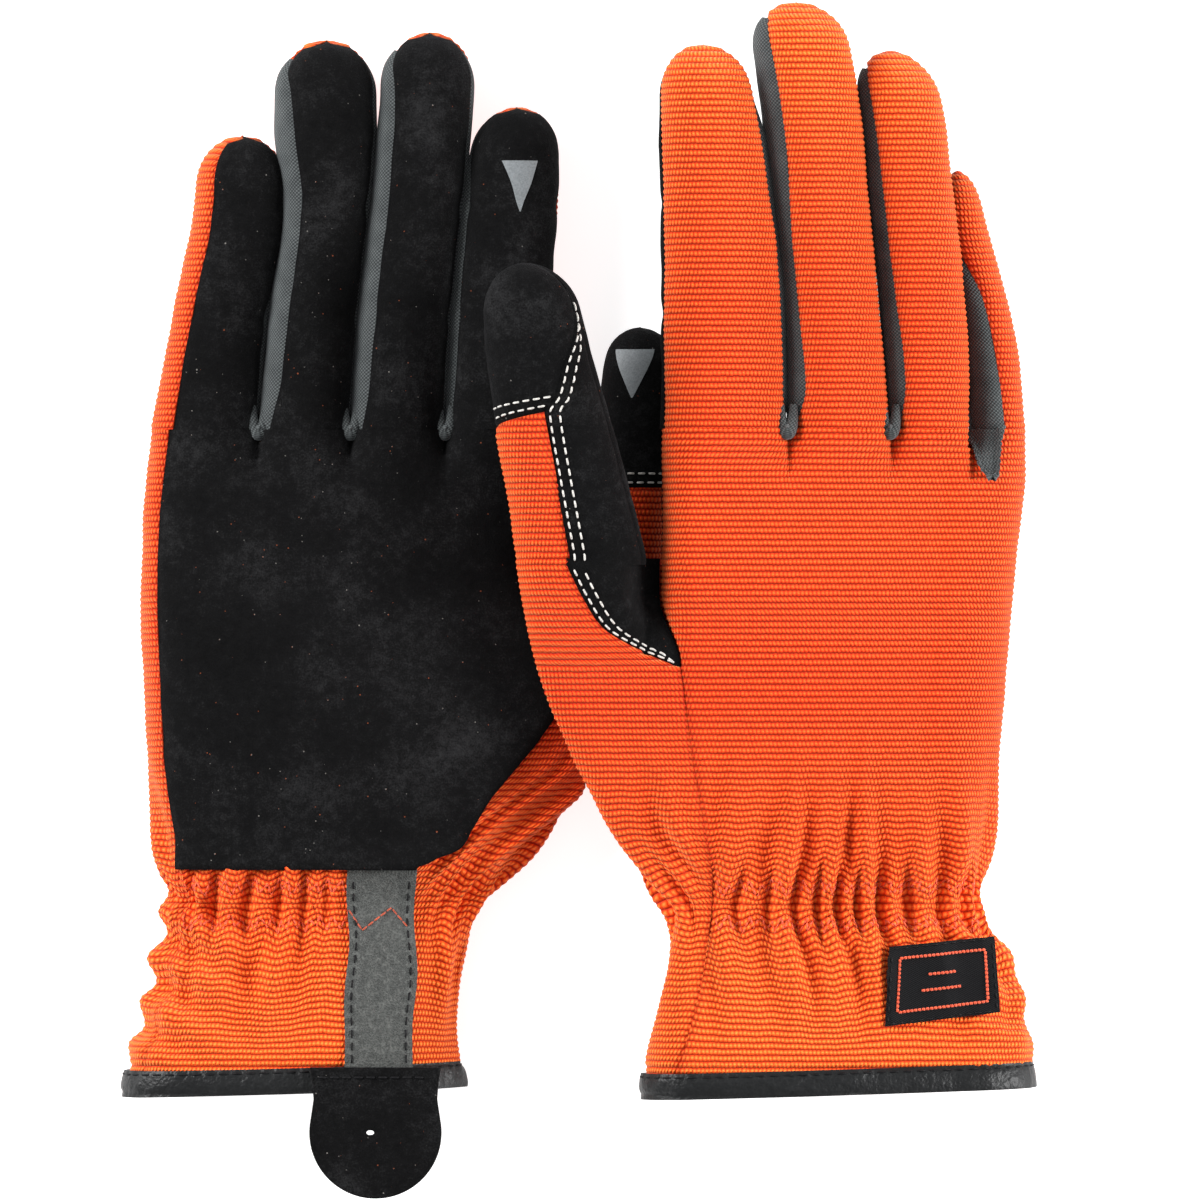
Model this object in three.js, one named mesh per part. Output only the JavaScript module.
import * as THREE from 'three';

// A pair of work gloves lying on a flat surface, in millimetres, +Z up, fingers towards +Y.
// The lower glove lies palm up.  The upper glove lies palm down, with its thumb over the
// lower glove's index finger and its index finger over the lower glove's thumb.

// ---- Driving dimensions -------------------------------------------------------------
const FABRIC = 1.2; // wall thickness of every sewn panel
const SEAM = 0.3; // space left between two panels that are sewn together
const TRIM = 0.7; // thickness of the label, the strip and the touch prints
const FINGER_BASE = 40; // Y where the finger stalls leave the hand
const HAND_TOP = 39; // Y of the hand's open finger edge
const THUMB_BASE = 10; // Y where the thumb stall leaves the hand
const THUMB_MOUTH = 6; // Y of the hand's open thumb edge
const PALM_EDGE = -61.6; // Y of the seam between palm and cuff
const CUFF_EDGE = -108.2; // Y where the cuff panels meet the binding
const BINDING = [-114, -108.5]; // Y range of the cuff binding
const BINDING_WALL = 2; // binding thickness, folded round the cuff edge
const ELASTIC = [-80, -67]; // Y range of the elastic inside the wrist
const ELASTIC_WALL = 0.8;
const ELASTIC_INSET = 2; // the elastic hangs clear of the gathered wall
const SIDE_WRAP = 3.6; // how far the back panel reaches round the little finger side
const CAP_SEAM = 44; // Y of the upper thumb cap's lower seam
const LOWER_CAP_SEAM = 27; // the same seam on the lower glove

const DEG = Math.PI / 180;

// ---- Materials ----------------------------------------------------------------------
const finish = (color, roughness) => () => new THREE.MeshStandardMaterial({ color, roughness, metalness: 0 });
const orangeKnit = finish('#f0561f', 0.85);
const suede = finish('#17171a', 0.95);
const greyKnit = finish('#44484b', 0.9);
const bindingSkin = finish('#26282a', 0.5);
const stripTape = finish('#575c5a', 0.8);
const printInk = finish('#6d7276', 0.6);
const elasticWeb = finish('#2b2b2d', 0.9);
const labelWeave = finish('#101012', 0.8);

// ---- Curves -------------------------------------------------------------------------

// A smooth curve through [position, value] knots, level past both ends.
function profile(knots) {
  const last = knots.length - 1;
  const slope = knots.map((_, i) => {
    const a = knots[Math.max(i - 1, 0)];
    const b = knots[Math.min(i + 1, last)];
    return (b[1] - a[1]) / (b[0] - a[0]);
  });
  return (at) => {
    if (at <= knots[0][0]) return knots[0][1];
    if (at >= knots[last][0]) return knots[last][1];
    const i = knots.findIndex((knot) => knot[0] > at) - 1;
    const [y0, v0] = knots[i];
    const [y1, v1] = knots[i + 1];
    const span = y1 - y0;
    const t = (at - y0) / span;
    const rise = t * t * (3 - 2 * t);
    const ease0 = t * (1 - t) * (1 - t);
    const ease1 = t * t * (1 - t);
    return v0 + (v1 - v0) * rise + span * (slope[i] * ease0 - slope[i + 1] * ease1);
  };
}

const level = (value) => () => value;
const steps = (from, to, count) => Array.from({ length: count + 1 }, (_, i) => from + ((to - from) * i) / count);

// ---- Closed shells --------------------------------------------------------------------

// A solid wall between an outer and an inner grid of points.  Rows run along the panel.
// A tip, when given, closes the last row to one outer and one inner point.  A ring joins
// the last column to the first.
function wall(outer, inner, { tip = null, ring = false } = {}) {
  const points = [];
  const faces = [];
  const put = (p) => points.push(p) - 1;
  const grids = [outer, inner].map((grid) => grid.map((row) => row.map(put)));
  const [out, inn] = grids;
  const rows = out.length;
  const columns = out[0].length;
  const quad = (a, b, c, d) => faces.push([a, b, c], [a, c, d]);
  const spans = ring ? columns : columns - 1;
  for (let j = 0; j < rows - 1; j += 1) {
    for (let i = 0; i < spans; i += 1) {
      const k = (i + 1) % columns;
      quad(out[j][i], out[j][k], out[j + 1][k], out[j + 1][i]);
      quad(inn[j][i], inn[j + 1][i], inn[j + 1][k], inn[j][k]);
    }
    if (ring) continue;
    const e = columns - 1;
    quad(out[j][0], out[j + 1][0], inn[j + 1][0], inn[j][0]);
    quad(out[j][e], inn[j][e], inn[j + 1][e], out[j + 1][e]);
  }
  const top = rows - 1;
  for (let i = 0; i < spans; i += 1) {
    const k = (i + 1) % columns;
    quad(out[0][i], inn[0][i], inn[0][k], out[0][k]);
    if (!tip) quad(out[top][i], out[top][k], inn[top][k], inn[top][i]);
  }
  if (tip) {
    const [a, b] = tip.map(put);
    for (let i = 0; i < spans; i += 1) {
      faces.push([out[top][i], out[top][i + 1], a], [inn[top][i + 1], inn[top][i], b]);
    }
    quad(out[top][0], a, b, inn[top][0]);
    quad(out[top][spans], inn[top][spans], b, a);
  }
  return solid(points, faces);
}

// A geometry from points and faces, turned so that its faces point out.
function solid(points, faces) {
  const corner = faces.map((face) => face.map((i) => new THREE.Vector3(...points[i])));
  const volume = corner.reduce((sum, [a, b, c]) => sum + a.dot(b.clone().cross(c)), 0);
  const order = volume > 0 ? [0, 1, 2] : [0, 2, 1];
  const geometry = new THREE.BufferGeometry();
  geometry.setAttribute('position', new THREE.Float32BufferAttribute(points.flat(), 3));
  geometry.setIndex(faces.flatMap((face) => order.map((i) => face[i])));
  return geometry;
}

// ---- Stalls: the tubes for the fingers and the thumb ------------------------------------

// A stall is a tube with its section across X and Z at each Y.
// knots: [y, centre x, half width, centre z, half height].
function stall(base, tip, cap, knots) {
  const column = (i) => profile(knots.map((knot) => [knot[0], knot[i]]));
  const [x, width, z, height] = [1, 2, 3, 4].map(column);
  return { base, tip, cap, x, width, z, height };
}

// How much of the full section is left at y, because of the round tip.
function capScale(tube, y) {
  const u = (y - (tube.tip - tube.cap)) / tube.cap;
  return u <= 0 ? 1 : Math.sqrt(Math.max(0, 1 - u * u));
}

// A point of the stall's wall; angle 0 is +X and 90 degrees is up.
function stallPoint(tube, y, angle, offset) {
  const scale = capScale(tube, y);
  const a = tube.width(y) * scale + offset;
  const b = tube.height(y) * scale + offset;
  return [tube.x(y) + a * Math.cos(angle), y, tube.z(y) + b * Math.sin(angle)];
}

// A panel of a stall between two angles, in degrees, that may change along it.  Its edges
// may turn a corner at turnAt, where a gusset beside it ends.
function stallPanel(tube, { from, to, y0 = tube.base, y1 = tube.tip, turnAt, rows = 4, columns = 5 }) {
  const closed = y1 === tube.tip;
  const straightEnd = closed ? tube.tip - tube.cap : y1;
  const along = steps(y0, turnAt ?? straightEnd, rows);
  if (turnAt) along.push(turnAt + SEAM, straightEnd);
  if (closed) along.push(...[32, 62].map((a) => tube.tip - tube.cap + tube.cap * Math.sin(a * DEG)));
  const grid = (offset) =>
    along.map((y) => {
      const seamAngle = SEAM / 2 / (tube.width(y) * capScale(tube, y));
      const start = from(y) * DEG + seamAngle;
      const end = to(y) * DEG - seamAngle;
      return steps(start, end, columns).map((angle) => stallPoint(tube, y, angle, offset));
    });
  if (!closed) return wall(grid(0), grid(-FABRIC));
  const middle = ((from(tube.tip) + to(tube.tip)) / 2) * DEG;
  const shift = SEAM;
  const tip = [0, -FABRIC].map((drop) => [
    tube.x(tube.tip) + shift * Math.cos(middle),
    tube.tip + drop,
    tube.z(tube.tip) + shift * Math.sin(middle),
  ]);
  return wall(grid(0), grid(-FABRIC), { tip });
}

// A triangle printed on a stall, standing proud of it: wide at y1, pointed at y0.
function stallPrint(tube, { angle, halfAngle, y0, y1 }) {
  const rows = steps(y0, y1, 3);
  const grid = (offset) =>
    rows.map((y) => {
      const reach = halfAngle * (0.08 + (0.92 * (y - y0)) / (y1 - y0));
      return steps(angle - reach, angle + reach, 3).map((a) => stallPoint(tube, y, a * DEG, offset));
    });
  return wall(grid(SEAM + TRIM), grid(SEAM));
}

// ---- Hands: the flattened tube from cuff to knuckles --------------------------------------

// One section of a hand at y, drawn in by inset.  Each face runs level between two
// shoulders and falls to the little finger edge and the thumb edge in a rounded rim.
function handSection(hand, y, inset, lobed) {
  const s = hand.side;
  const thumb = lobed ? hand.lobe : hand.thumbEdge;
  const face = (shape, sign) => {
    const thumbShoulder = lobed ? shape.lobe : shape.thumb;
    return {
      arch: shape.arch,
      little: { x: hand.littleEdge.x(y) - s * shape.littleIn, z: shape.little(y) - sign * inset, n: 2 },
      thumb: {
        x: lobed ? thumbShoulder.x : hand.thumbEdge.x(y) + s * thumbShoulder.reach(y),
        z: thumbShoulder.z(y) - sign * inset,
        n: thumbShoulder.n,
      },
    };
  };
  return {
    s,
    little: { x: hand.littleEdge.x(y) - s * inset, z: hand.littleEdge.z(y) },
    thumb: { x: thumb.x(y) + s * inset, z: thumb.z(y) },
    top: face(hand.top, 1),
    bottom: face(hand.bottom, -1),
  };
}

function rimHeight(x, edge, shoulder) {
  const u = Math.min(1, Math.abs((x - shoulder.x) / (edge.x - shoulder.x)));
  const v = Math.pow(Math.max(0, 1 - Math.pow(u, shoulder.n)), 1 / shoulder.n);
  return edge.z + (shoulder.z - edge.z) * v;
}

function faceHeight(section, side, x) {
  const face = section[side];
  if (section.s * (x - face.little.x) > 0) return rimHeight(x, section.little, face.little);
  if (section.s * (x - face.thumb.x) < 0) return rimHeight(x, section.thumb, face.thumb);
  const t = (x - face.thumb.x) / (face.little.x - face.thumb.x);
  return face.thumb.z + (face.little.z - face.thumb.z) * t + face.arch * 4 * t * (1 - t);
}

// A point at x on one face, moved out by offset (in when negative).
function facePoint(hand, side, y, x, offset, lobed) {
  const outer = handSection(hand, y, 0, lobed);
  const section = handSection(hand, y, -offset, lobed);
  const middle = (outer.little.x + outer.thumb.x) / 2;
  const half = Math.abs(outer.little.x - middle);
  const inset = middle + ((x - middle) * (half + offset)) / half;
  return [inset, y, faceHeight(section, side, inset)];
}

// Columns that start on one face at x0, turn round an edge and end on the other at x1.
function roundEdge(hand, edgeOf, y, start, end, count, offset, lobed) {
  const edge = edgeOf(y);
  const over = steps(0, 1, count).slice(0, -1);
  const under = steps(1, 0, count);
  const at = (x, t) => x + (edge - x) * Math.sin((t * Math.PI) / 2);
  return [
    ...over.map((t) => facePoint(hand, start.side, y, at(start.x, t), offset, lobed)),
    ...under.map((t) => facePoint(hand, end.side, y, at(end.x, t), offset, lobed)),
  ];
}

function twoFacePanel(hand, edgeOf, rows, limits, count, lobed = false) {
  const grid = (offset) =>
    rows.map((y) => {
      const [start, end] = limits(y);
      return roundEdge(hand, edgeOf, y, start, end, count, offset, lobed);
    });
  return wall(grid(0), grid(-FABRIC));
}

function oneFacePanel(hand, side, rows, limits, count, [outside, inside], lobed = false) {
  const grid = (offset) =>
    rows.map((y) => {
      const [from, to] = limits(y);
      return steps(from, to, count).map((x) => facePoint(hand, side, y, x, offset, lobed));
    });
  return wall(grid(outside), grid(inside));
}

// A band right round the hand, such as the binding and the wrist elastic.
function band(hand, [y0, y1], outside, thickness, lobed = false, count = 12) {
  const ringAt = (y, offset) => {
    const little = hand.littleEdge.x(y);
    const thumb = (lobed ? hand.lobe : hand.thumbEdge).x(y);
    const across = (t) => (little + thumb) / 2 + ((little - thumb) / 2) * Math.cos(t * Math.PI);
    const turn = steps(0, 1, count);
    return [
      ...turn.slice(0, -1).map((t) => facePoint(hand, 'top', y, across(t), offset, lobed)),
      ...turn.slice(0, -1).map((t) => facePoint(hand, 'bottom', y, across(1 - t), offset, lobed)),
    ];
  };
  const rows = [y0, y1];
  const outer = rows.map((y) => ringAt(y, outside));
  const inner = rows.map((y) => ringAt(y, outside - thickness));
  return wall(outer, inner, { ring: true });
}

// ---- The two gloves -------------------------------------------------------------------

// The lower glove's back lies flat on the surface, and its cuff stands a little off it.
const lowerBack = (y) => 2.4 * (1 - THREE.MathUtils.smoothstep(y, -64, -52));

const lower = {
  name: 'lower',
  side: -1,
  palm: 'top',
  back: 'bottom',
  turn: 180,
  capSeam: LOWER_CAP_SEAM,
  littleEdge: {
    x: profile([[-114, -106.2], [-99, -102], [-88, -98.4], [-62, -97], [-35, -100.5], [14, -101.6], [39, -99.3]]),
    z: level(12),
  },
  thumbEdge: {
    x: profile([[-114, -26.6], [-97, -28], [-78, -24.7], [-50, -19], [-30, -14], [0, -9], [39, -6]]),
    z: level(10),
  },
  lobe: {
    x: profile([[-114, -26.6], [-97, -28], [-78, -24.7], [-66, -17], [-50, -3], [-25, 10], [8, 20]]),
    z: profile([[-80, 10], [0, 8]]),
  },
  top: {
    arch: 1.5,
    littleIn: 15,
    little: profile([[-114, 24], [-70, 22], [-30, 26], [39, 19.5]]),
    thumb: {
      reach: profile([[-60, 13], [-30, 24], [39, 22]]),
      z: profile([[-114, 23], [-70, 21], [-30, 24], [0, 20.5], [39, 19.5]]),
      n: 1.7,
    },
    lobe: { x: -42, z: profile([[-114, 23], [-70, 21], [-30, 25], [39, 21]]), n: 1.3 },
  },
  bottom: {
    arch: 0,
    littleIn: 14,
    little: lowerBack,
    thumb: { reach: level(8), z: lowerBack, n: 2 },
    lobe: { x: -34, z: lowerBack, n: 1.8 },
  },
  backSeam: profile([[-114, -30], [-90, -33], [-65, -31], [-40, -27], [-15, -17]]),
  palmSeam: profile([[-62, -37], [-54, -27], [-46, -24], [-33, -19], [-10, -14.5], [6, -12.5]]),
  webEdge: profile([[-15, -16.6], [-11, -8], [-5, 0], [6, 4.5]]),
  stripX: profile([[-108, -46.3], [-61, -45.3]]),
  stripHalf: 8,
  fingers: {
    index: stall(FINGER_BASE, 114.6, 12, [
      [40, -18, 12.2, 10.4, 9.4], [76, -17, 10.6, 10.4, 9.4], [92, -15.4, 10.6, 10.4, 9.2], [114, -14.6, 9.6, 10, 9],
    ]),
    middle: stall(FINGER_BASE, 132, 13, [
      [40, -41.9, 10.3, 10.6, 9.6], [69, -39.8, 10.2, 10.6, 9.6], [93, -37.2, 10.1, 10.6, 9.5],
      [115, -35.3, 10.3, 10.4, 9.4], [132, -34.6, 10.2, 10, 9.2],
    ]),
    ring: stall(FINGER_BASE, 130.2, 13, [
      [40, -63.4, 10, 10.6, 9.6], [69, -60.8, 9.6, 10.6, 9.6], [92, -56.9, 8.5, 10.6, 9.5],
      [108, -58.4, 11.2, 10.4, 9.4], [130, -58.6, 11, 10, 9.2],
    ]),
    little: stall(FINGER_BASE, 108.1, 12, [
      [40, -87, 12.2, 10.2, 9.2], [65, -83.4, 11.2, 10.2, 9.2], [86, -78.9, 11, 10, 9], [108, -78.2, 9.6, 9.8, 8.8],
    ]),
  },
  thumb: stall(THUMB_BASE, 63.6, 11, [
    [10, 11, 9.4, 7.4, 6.8], [30, 13.2, 9, 7.4, 6.8], [54, 14.5, 8.6, 7.4, 6.8], [63.6, 14.3, 8.4, 7.4, 6.6],
  ]),
};

const upper = {
  name: 'upper',
  side: 1,
  palm: 'bottom',
  back: 'top',
  turn: 0,
  capSeam: CAP_SEAM,
  littleEdge: {
    x: profile([[-114, 106.2], [-93, 103.5], [-84, 100], [-71, 94.4], [-35, 98.2], [-5, 100.5], [23, 103.4], [39, 104]]),
    z: profile([[-114, 13], [-70, 12], [39, 10]]),
  },
  thumbEdge: {
    x: profile([[-114, 14.4], [-93, 17.7], [-75, 20.2], [-50, 18.4], [10, 19.1], [39, 19.1]]),
    z: level(22),
  },
  lobe: {
    x: profile([[-114, 14.4], [-93, 17.7], [-75, 20.2], [-65, 14.3], [-50, 5], [-31, -4.3], [-9, -11.2], [6, -14.2]]),
    z: profile([[-80, 22], [-40, 26], [6, 27.5]]),
  },
  top: {
    arch: 2.5,
    littleIn: 18,
    little: profile([[-114, 27], [-70, 25], [-30, 27], [39, 22]]),
    thumb: { reach: level(8), z: profile([[-114, 32], [-70, 31], [39, 33]]), n: 2 },
    lobe: { x: 27, z: profile([[-114, 32], [-70, 31], [39, 33]]), n: 1.8 },
  },
  bottom: {
    arch: 0,
    littleIn: 12,
    little: (y) => 3 * (1 - THREE.MathUtils.smoothstep(y, -70, -45)),
    thumb: { reach: level(31), z: profile([[-114, 8], [-70, 9], [-40, 7], [39, 6.5]]), n: 2 },
    lobe: { x: 50, z: profile([[-114, 8], [-70, 9], [-40, 7], [39, 6.5]]), n: 1.4 },
  },
  backSeam: profile([[-108, 23.4], [-90, 28.2], [-65, 30.9], [-51, 28.9], [-33, 25.8], [-15.6, 23.6]]),
  palmSeam: profile([[-62, 39], [-46, 30], [-33, 26], [-10, 23.5], [6, 22.5]]),
  webEdge: profile([[-15.6, 23], [-11.7, 14.3], [-7, 6.1], [0, 1.5], [6, -1.3]]),
  stripX: level(39.4),
  stripHalf: 8,
  fingers: {
    index: stall(FINGER_BASE, 128.5, 13, [
      [40, 33.6, 14.4, 25, 9.6], [69, 33.1, 14, 25, 9.5], [93, 31.9, 12.7, 25, 9.4], [128.5, 29, 10.8, 24, 9.2],
    ]),
    middle: stall(FINGER_BASE, 138.5, 12, [
      [40, 60.4, 10.6, 21, 9.8], [69, 58.7, 10.4, 21, 9.8], [93, 56.2, 10.6, 21, 9.7],
      [114, 54, 11, 21, 9.6], [138.5, 50.4, 10.4, 20.5, 9.4],
    ]),
    ring: stall(FINGER_BASE, 127.4, 13, [
      [40, 81.6, 8.9, 16.5, 9.3], [65, 80.5, 9.4, 16.5, 9.3], [93, 77.5, 9.6, 16.5, 9.3],
      [114, 75, 9.2, 16.5, 9.2], [127.4, 72.4, 9, 16, 9],
    ]),
    little: stall(FINGER_BASE, 100, 11, [
      [40, 97.6, 6.3, 9.4, 8], [55, 96.4, 6.2, 9.2, 7.8], [69, 94.3, 5.7, 8.8, 7.4], [88, 90, 4.6, 7, 6.2], [100, 88.4, 4.4, 6.6, 6],
    ]),
  },
  thumb: stall(THUMB_BASE, 77.5, 12, [
    [10, 0.5, 15, 28.6, 9.4], [28, -3, 13.8, 31.8, 9.2], [42, -6, 13.2, 34, 9],
    [58, -9.2, 11.6, 37, 8.8], [77.5, -12.6, 10, 39, 8.6],
  ]),
};

// Seam angles round a finger, in degrees, for the upper glove: 90 is the back of the
// finger, 180 the thumb side and 270 the palm side.
const GUSSET = {
  thumbSide: { from: profile([[40, 140], [115, 158]]), to: profile([[40, 205], [115, 196]]) },
  littleSide: { from: profile([[40, -25], [115, -16]]), to: profile([[40, 20], [115, 12]]) },
};
const GUSSET_SIDES = {
  index: ['littleSide'],
  middle: ['thumbSide', 'littleSide'],
  ring: ['thumbSide', 'littleSide'],
  little: ['thumbSide'],
};
const GUSSET_END = 4; // how far below the round tip a gusset stops

const pieces = [];
const add = (glove, name, geometry, material) => pieces.push([`${glove.name}_${name}`, geometry, material()]);

const gussetEnd = (tube) => tube.tip - tube.cap - GUSSET_END;

// A panel edge that follows a gusset and meets the other panel beyond the gusset's end.
function gussetEdge(tube, hasGusset, alongGusset, meeting) {
  const end = gussetEnd(tube);
  return (y) => (hasGusset && y <= end ? alongGusset(y) : meeting);
}

function addFinger(glove, name) {
  const tube = glove.fingers[name];
  const { turn } = glove;
  const sides = GUSSET_SIDES[name];
  const { thumbSide, littleSide } = GUSSET;
  const edge = (side, bound, meeting) =>
    gussetEdge(tube, sides.includes(side), (y) => GUSSET[side][bound](y) + turn, meeting + turn);
  const backFrom = edge('littleSide', 'to', 0);
  const backTo = edge('thumbSide', 'from', 180);
  const frontFrom = edge('thumbSide', 'to', 180);
  const littleFrom = edge('littleSide', 'from', 0);
  const frontTo = (y) => littleFrom(y) + 360;
  const turnAt = gussetEnd(tube);
  add(glove, `${name}_back`, stallPanel(tube, { from: backFrom, to: backTo, turnAt }), orangeKnit);
  add(glove, `${name}_front`, stallPanel(tube, { from: frontFrom, to: frontTo, turnAt }), suede);
  for (const side of sides) {
    const shape = side === 'thumbSide' ? thumbSide : littleSide;
    const from = (y) => shape.from(y) + turn;
    const to = (y) => shape.to(y) + turn;
    const geometry = stallPanel(tube, { from, to, y1: turnAt - SEAM, columns: 2 });
    add(glove, `${name}_gusset_${side === 'thumbSide' ? 'inner' : 'outer'}`, geometry, greyKnit);
  }
}

const STRIP_ANGLE = [20, 75]; // where the reinforcing strip runs round the upper thumb
const BACK_ANGLE = 190; // where the thumb's back meets its front

function addThumb(glove) {
  const tube = glove.thumb;
  const { turn, capSeam } = glove;
  const at = (angle) => level(angle + turn);
  const [stripFrom, stripTo] = STRIP_ANGLE;
  const sector = (from, to, extra) => stallPanel(tube, { from: at(from), to: at(to), ...extra });
  const below = { y1: capSeam - SEAM / 2, rows: 2 };
  add(glove, 'thumb_back', sector(stripTo, BACK_ANGLE, { ...below, columns: 4 }), orangeKnit);
  add(glove, 'thumb_strip', sector(stripFrom, stripTo, { ...below, columns: 2 }), suede);
  const cap = sector(stripFrom, BACK_ANGLE, { y0: capSeam + SEAM / 2, rows: 2, columns: 6 });
  add(glove, 'thumb_cap', cap, suede);
  add(glove, 'thumb_front', sector(BACK_ANGLE, stripFrom + 360, { columns: 6 }), suede);
}

function addPrints(glove) {
  const index = glove.fingers.index;
  const { turn } = glove;
  const onIndex = { angle: 232 + turn, halfAngle: 24, y0: index.tip - 25, y1: index.tip - 13 };
  add(glove, 'index_print', stallPrint(index, onIndex), printInk);
  const thumb = glove.thumb;
  const onThumb = { angle: 266 + turn, halfAngle: 36, y0: thumb.tip - 17, y1: thumb.tip - 6 };
  add(glove, 'thumb_print', stallPrint(thumb, onThumb), printInk);
}

// Panels that share a seam share the rows along it.
const CUFF_ROWS = steps(CUFF_EDGE, -64, 5);
const HAND_ROWS = [-54, -46, -33, -15.6];

function addHand(glove) {
  const { side, palm, back, palmSeam, backSeam, webEdge } = glove;
  const little = glove.littleEdge.x;
  const thumbEdge = glove.thumbEdge.x;
  const sideSeam = (y) => little(y) - side * SIDE_WRAP;
  const hairline = 0.02;
  // Above the web the back and palm panels meet along the index finger's outer edge.
  const meet = (y) => thumbEdge(y) + side * hairline;
  const backStart = (y) => {
    const t = THREE.MathUtils.smoothstep(y, -14, 2);
    return backSeam(y) * (1 - t) + meet(y) * t;
  };
  const backRows = [...CUFF_ROWS, ...HAND_ROWS, -6, 2, 14, HAND_TOP];
  const backLimits = (y) => [
    { side: back, x: backStart(y) },
    { side: palm, x: sideSeam(y) },
  ];
  add(glove, 'back_panel', twoFacePanel(glove, little, backRows, backLimits, 6), orangeKnit);

  // The palm ends on the thumb side at its own seam, and above the web at the finger edge.
  const palmRows = [PALM_EDGE + SEAM, ...HAND_ROWS, THUMB_MOUTH, 14, HAND_TOP];
  const palmEnd = (y) => (y > THUMB_MOUTH ? meet(y) : palmSeam(y) + side * 2 * SEAM);
  const palmLimits = (y) => [sideSeam(y) - side * 2 * SEAM, palmEnd(y)];
  add(glove, 'palm_panel', oneFacePanel(glove, palm, palmRows, palmLimits, 9, [0, -FABRIC]), suede);

  const strip = glove.stripX;
  const cuffRows = [...CUFF_ROWS, PALM_EDGE];
  const cuffLimits = (y) => [sideSeam(y) - side * 2 * SEAM, strip(y) + side * (SEAM / 2)];
  const cuffPanel = oneFacePanel(glove, palm, cuffRows, cuffLimits, 6, [0, -FABRIC]);
  add(glove, 'palm_cuff_panel', cuffPanel, orangeKnit);

  const sideRows = [...CUFF_ROWS, PALM_EDGE, PALM_EDGE + SEAM, ...HAND_ROWS, -11.7, -7, 0, THUMB_MOUTH];
  const sideStart = (y) => (y < -15 ? backSeam(y) - side * 2 * SEAM : webEdge(y));
  const sideEnd = (y) => (y <= PALM_EDGE ? strip(y) - side * (SEAM / 2) : palmSeam(y));
  const sideLimits = (y) => [
    { side: back, x: sideStart(y) },
    { side: palm, x: sideEnd(y) },
  ];
  const sidePanel = twoFacePanel(glove, glove.lobe.x, sideRows, sideLimits, 5, true);
  add(glove, 'thumb_side_panel', sidePanel, orangeKnit);

  const webRows = [-10.5, -7, 0, THUMB_MOUTH];
  const webLimits = (y) => [webEdge(y) + side * 2 * SEAM, thumbEdge(y) - side * 2 * SEAM];
  const web = oneFacePanel(glove, back, webRows, webLimits, 4, [0, -FABRIC], true);
  add(glove, 'web_patch', web, suede);
}

const LABEL = { x: 25, y: [-97, -79], fromLittle: 8 }; // width, place and distance from the side

function addCuff(glove) {
  const { side, palm, back } = glove;
  add(glove, 'cuff_binding', band(glove, BINDING, 0.2, BINDING_WALL), bindingSkin);
  add(glove, 'wrist_elastic', band(glove, ELASTIC, -FABRIC - ELASTIC_INSET, ELASTIC_WALL, true), elasticWeb);
  const proud = [SEAM + TRIM, SEAM];
  const half = glove.stripHalf;
  const stripLimits = (y) => [glove.stripX(y) - half, glove.stripX(y) + half];
  const stripRows = steps(CUFF_EDGE, PALM_EDGE - 1, 4);
  add(glove, 'cuff_strip', oneFacePanel(glove, palm, stripRows, stripLimits, 2, proud), stripTape);
  const near = (y) => glove.littleEdge.x(y) - side * LABEL.fromLittle;
  const labelLimits = (y) => [near(y), near(y) - side * LABEL.x];
  const label = oneFacePanel(glove, back, steps(...LABEL.y, 2), labelLimits, 4, proud);
  add(glove, 'label', label, labelWeave);
}

// ---- Pull tabs ------------------------------------------------------------------------
const TAB = { thickness: 2, width: 30, neck: 7, radius: 15.5, reach: 30, slot: [2.4, 1.2] };

// The tab's outline: a straight sewn end, a short neck and a round end with a slot.
function tabOutline() {
  const { width, neck, radius, reach } = TAB;
  const centre = reach - radius;
  const shape = new THREE.Shape();
  shape.moveTo(-width / 2, 0);
  shape.lineTo(-width / 2, -neck);
  shape.absarc(0, -centre, radius, Math.PI - 0.35, 2 * Math.PI + 0.35, false);
  shape.lineTo(width / 2, -neck);
  shape.lineTo(width / 2, 0);
  shape.closePath();
  const slot = new THREE.Path();
  const [long, tall] = TAB.slot.map((size) => size / 2);
  slot.absellipse(0, -centre, long, tall, 0, 2 * Math.PI, true);
  shape.holes.push(slot);
  return shape;
}

function pullTab(x, y, z, folded) {
  const settings = { depth: TAB.thickness, bevelEnabled: false, curveSegments: 12 };
  const geometry = new THREE.ExtrudeGeometry(tabOutline(), settings);
  geometry.deleteAttribute('normal');
  geometry.deleteAttribute('uv');
  if (folded) geometry.rotateX(Math.PI);
  geometry.translate(x, y, z);
  return geometry;
}

for (const glove of [lower, upper]) {
  addHand(glove);
  addCuff(glove);
  for (const name of Object.keys(glove.fingers)) addFinger(glove, name);
  addThumb(glove);
  addPrints(glove);
}
add(lower, 'pull_tab', pullTab(-46.9, -108.5, 26.2, false), suede);
add(upper, 'pull_tab', pullTab(39.4, -109.5, 5.4, true), suede);

const group = new THREE.Group();
for (const [name, geometry, material] of pieces) {
  const mesh = new THREE.Mesh(geometry, material);
  mesh.name = name;
  group.add(mesh);
}

export default group;
